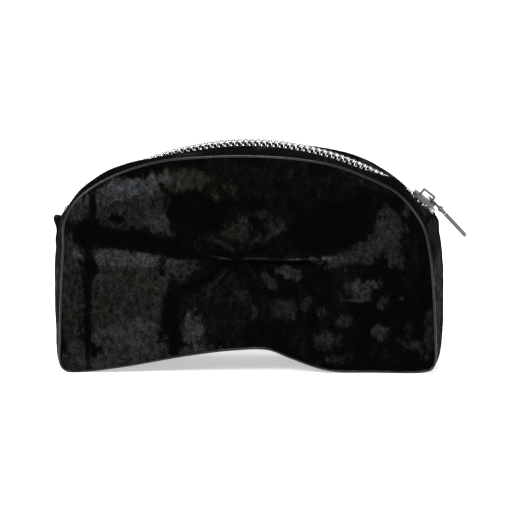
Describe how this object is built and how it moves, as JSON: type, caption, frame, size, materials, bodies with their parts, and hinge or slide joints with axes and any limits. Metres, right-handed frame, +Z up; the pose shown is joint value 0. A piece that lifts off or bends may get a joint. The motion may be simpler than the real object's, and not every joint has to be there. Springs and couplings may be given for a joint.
{
  "type": "makeup bag",
  "caption": "Soft half-moon velvet pouch with piped edges, a gathered front panel, a gusset, and an arched metal zip whose slider carries a link and a pull tab.",
  "frame": {"origin": "centre of the overall footprint, at the level of the surface the bag stands on", "axes": "+Z up; +X along the width, towards the closed end of the zip; the gathered front panel faces -Y"},
  "size_m": [0.2153, 0.06, 0.1191],
  "materials": {
    "velvet": "crushed velvet pile, black, with silvery streaks where the pile is brushed over",
    "piping_cloth": "smooth black satin piping with a soft highlight",
    "filler_cord": "twisted cotton cord",
    "wadding": "soft polyester wadding",
    "lining": "plain black satin lining",
    "zip_tape": "black herringbone woven tape",
    "chain_metal": "polished nickel teeth",
    "slider_metal": "polished nickel, slightly worn"
  },
  "bodies": {
    "pouch": {"front_panel": "velvet", "back_panel": "velvet", "base_gusset": "velvet", "top_strip_front": "velvet", "top_strip_back": "velvet", "zip_end_tab_left": "velvet", "zip_end_tab_right": "velvet", "front_piping": "piping_cloth", "back_piping": "piping_cloth", "front_piping_cord": "filler_cord", "back_piping_cord": "filler_cord", "front_wadding": "wadding", "back_wadding": "wadding", "front_lining": "lining", "back_lining": "lining", "base_lining": "lining", "top_lining_front": "lining", "top_lining_back": "lining", "zip_tape_front": "zip_tape", "zip_tape_back": "zip_tape", "zip_teeth_front": "chain_metal", "zip_teeth_back": "chain_metal", "zip_top_stops": "chain_metal", "zip_bottom_stop": "chain_metal"},
    "slider": {"slider_body": "slider_metal", "slider_bridge": "slider_metal"},
    "link": {"pull_link": "slider_metal"},
    "tab": {"pull_tab": "slider_metal"}
  },
  "joints": [
    {"name": "slider_travel", "type": "hinge", "parent": "pouch", "child": "slider", "pos_m": [-0.0072, 0, -0.0305], "axis": [0, -1, 0], "range_deg": [0, 75.3], "deforming": ["zip_teeth_front", "zip_teeth_back"]},
    {"name": "link_swing", "type": "hinge", "parent": "slider", "child": "link", "pos_m": [0.08779, 0, 0.08875], "axis": [0, -1, 0], "range_deg": [0, 160]},
    {"name": "tab_swing", "type": "hinge", "parent": "link", "child": "tab", "pos_m": [0.09377, 0, 0.08258], "axis": [0, -1, 0], "range_deg": [0, 45]}
  ]
}
